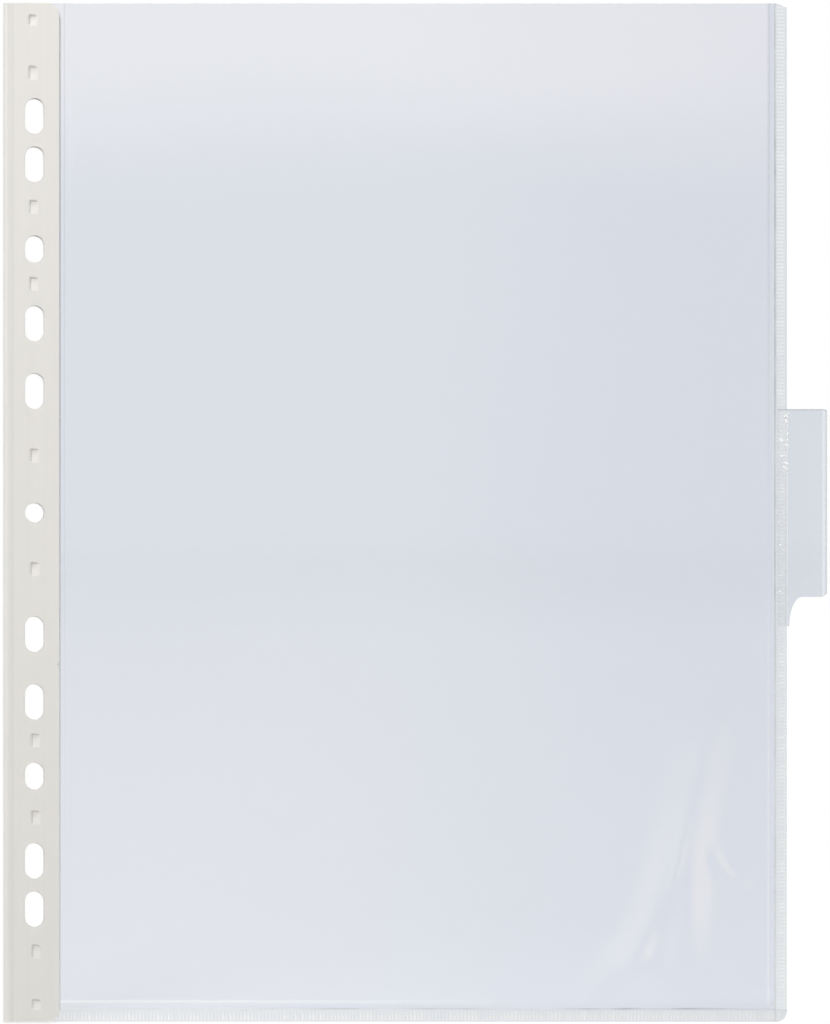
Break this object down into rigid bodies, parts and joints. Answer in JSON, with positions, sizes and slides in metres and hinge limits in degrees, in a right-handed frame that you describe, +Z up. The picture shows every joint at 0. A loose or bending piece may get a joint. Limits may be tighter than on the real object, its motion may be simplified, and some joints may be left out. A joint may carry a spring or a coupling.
{
  "type": "punched document pocket",
  "caption": "Clear A4 document pocket of welded films, open at the top, held in a folded and punched off-white binding strip, with a clear index tab on the side seam.",
  "frame": {"origin": "centre of the round filing hole in the middle of the binding strip, midway through the strip", "axes": "+Z up along the strip towards the open top, +X from the strip across the pocket towards the tab, -Y out of the front face"},
  "size_m": [0.2508, 0.0022, 0.31],
  "materials": {
    "strip_plastic": "off-white polypropylene, fine satin",
    "clear_film": "clear calendered film, smooth gloss",
    "tab_film": "clear folded film, smooth gloss"
  },
  "bodies": {
    "binding": {"binding_strip": "strip_plastic", "front_film_margin": "clear_film", "back_film_margin": "clear_film"},
    "pocket": {"front_film": "clear_film", "back_film": "clear_film", "index_tab": "tab_film"}
  },
  "joints": [
    {"name": "page_turn", "type": "hinge", "parent": "binding", "child": "pocket", "pos_m": [0.009, 0, 0], "axis": [0, 0, 1], "range_deg": [-90, 90], "stiffness_Nm_per_rad": 0.05}
  ]
}
